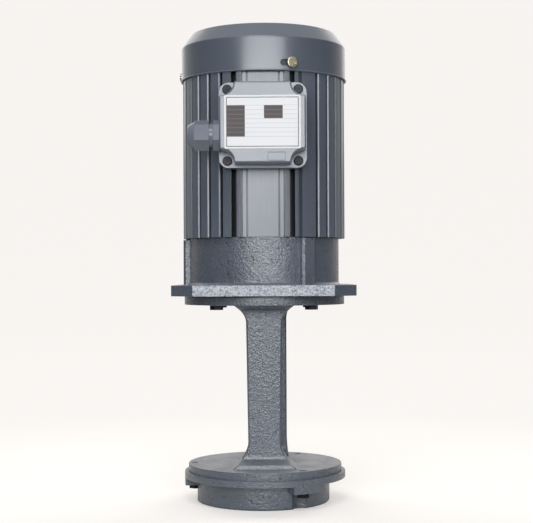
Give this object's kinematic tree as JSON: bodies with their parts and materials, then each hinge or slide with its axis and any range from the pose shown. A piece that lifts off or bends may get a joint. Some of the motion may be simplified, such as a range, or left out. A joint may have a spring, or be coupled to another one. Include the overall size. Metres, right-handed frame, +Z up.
{
  "type": "immersion coolant pump",
  "caption": "Vertical immersion coolant pump: finned fan-cooled motor with a terminal box on a square flange, a two-leg column and a submerged volute casing.",
  "frame": {"origin": "centre of the square mounting flange's underside, which rests on the tank cover", "axes": "+Z up along the shaft towards the fan cover, -Y towards the terminal box, -X towards the cable gland"},
  "size_m": [0.155, 0.183, 0.4077],
  "materials": {
    "casting_paint": "semi-gloss blue-grey paint over rough casting",
    "housing_paint": "semi-gloss blue-grey paint over an extrusion",
    "cover_paint": "smooth semi-gloss blue-grey paint",
    "box_paint": "fine textured blue-grey paint",
    "bare_aluminium": "as cast",
    "yellow_zinc": "yellow zinc plated",
    "plain_steel": "zinc plated",
    "black_steel": "black oxide",
    "lamination_steel": "stacked sheet",
    "bearing_steel": "ground",
    "spring_steel": "phosphated",
    "shaft_steel": "turned",
    "copper_winding": "varnished copper wire",
    "brass": "turned",
    "seal_rubber": "matt",
    "gasket_rubber": "matt",
    "gasket_paper": "fibre sheet",
    "gland_plastic": "moulded polyamide",
    "fan_plastic": "moulded",
    "phenolic": "moulded",
    "cage_plastic": "moulded",
    "plate_white": "printed aluminium sheet",
    "impeller_iron": "as cast"
  },
  "bodies": {
    "pump_body": {"motor_bracket": "casting_paint", "stator_housing": "housing_paint", "upper_end_shield": "bare_aluminium", "fan_cover": "cover_paint", "fan_cover_screws": "yellow_zinc", "tie_bolts": "plain_steel", "tie_bolt_washers": "plain_steel", "stator_core": "lamination_steel", "stator_windings": "copper_winding", "lower_bearing_outer_ring": "bearing_steel", "upper_bearing_outer_ring": "bearing_steel", "lower_bearing_circlip": "spring_steel", "bearing_wave_washer": "spring_steel", "shaft_seal": "seal_rubber", "terminal_box_base": "box_paint", "terminal_box_gasket": "gasket_rubber", "terminal_box_cover": "box_paint", "terminal_cover_screws": "plain_steel", "terminal_base_screws": "plain_steel", "terminal_block": "phenolic", "terminal_studs": "brass", "terminal_links": "brass", "earth_screw": "brass", "data_plate": "plate_white", "gland_body": "gland_plastic", "gland_seal": "seal_rubber", "gland_dome_nut": "gland_plastic", "pump_column": "casting_paint", "column_gasket": "gasket_paper", "column_bolts": "black_steel", "throttle_bush": "brass", "volute_casing": "casting_paint", "casing_bolts": "plain_steel"},
    "rotor": {"motor_shaft": "shaft_steel", "rotor_core": "lamination_steel", "rotor_cage": "bare_aluminium", "lower_bearing_inner_ring": "bearing_steel", "upper_bearing_inner_ring": "bearing_steel", "cooling_fan": "fan_plastic", "fan_key": "plain_steel", "fan_circlip": "spring_steel", "shaft_slinger": "seal_rubber", "impeller": "impeller_iron", "impeller_key": "plain_steel", "impeller_washer": "plain_steel", "impeller_nut": "plain_steel"},
    "lower_ball_set": {"lower_bearing_balls": "bearing_steel", "lower_bearing_cage": "cage_plastic"},
    "upper_ball_set": {"upper_bearing_balls": "bearing_steel", "upper_bearing_cage": "cage_plastic"}
  },
  "joints": [
    {"name": "rotor_spin", "type": "hinge", "parent": "pump_body", "child": "rotor", "pos_m": [0, 0, 0.0355], "axis": [0, 0, -1], "continuous": true},
    {"name": "lower_balls_roll", "type": "hinge", "parent": "pump_body", "child": "lower_ball_set", "pos_m": [0, 0, 0.0355], "axis": [0, 0, -1], "continuous": true},
    {"name": "upper_balls_roll", "type": "hinge", "parent": "pump_body", "child": "upper_ball_set", "pos_m": [0, 0, 0.1865], "axis": [0, 0, -1], "continuous": true}
  ],
  "couplings": [
    {"joint": "lower_balls_roll", "follows": "rotor_spin", "ratio": 0.38},
    {"joint": "upper_balls_roll", "follows": "rotor_spin", "ratio": 0.38}
  ]
}
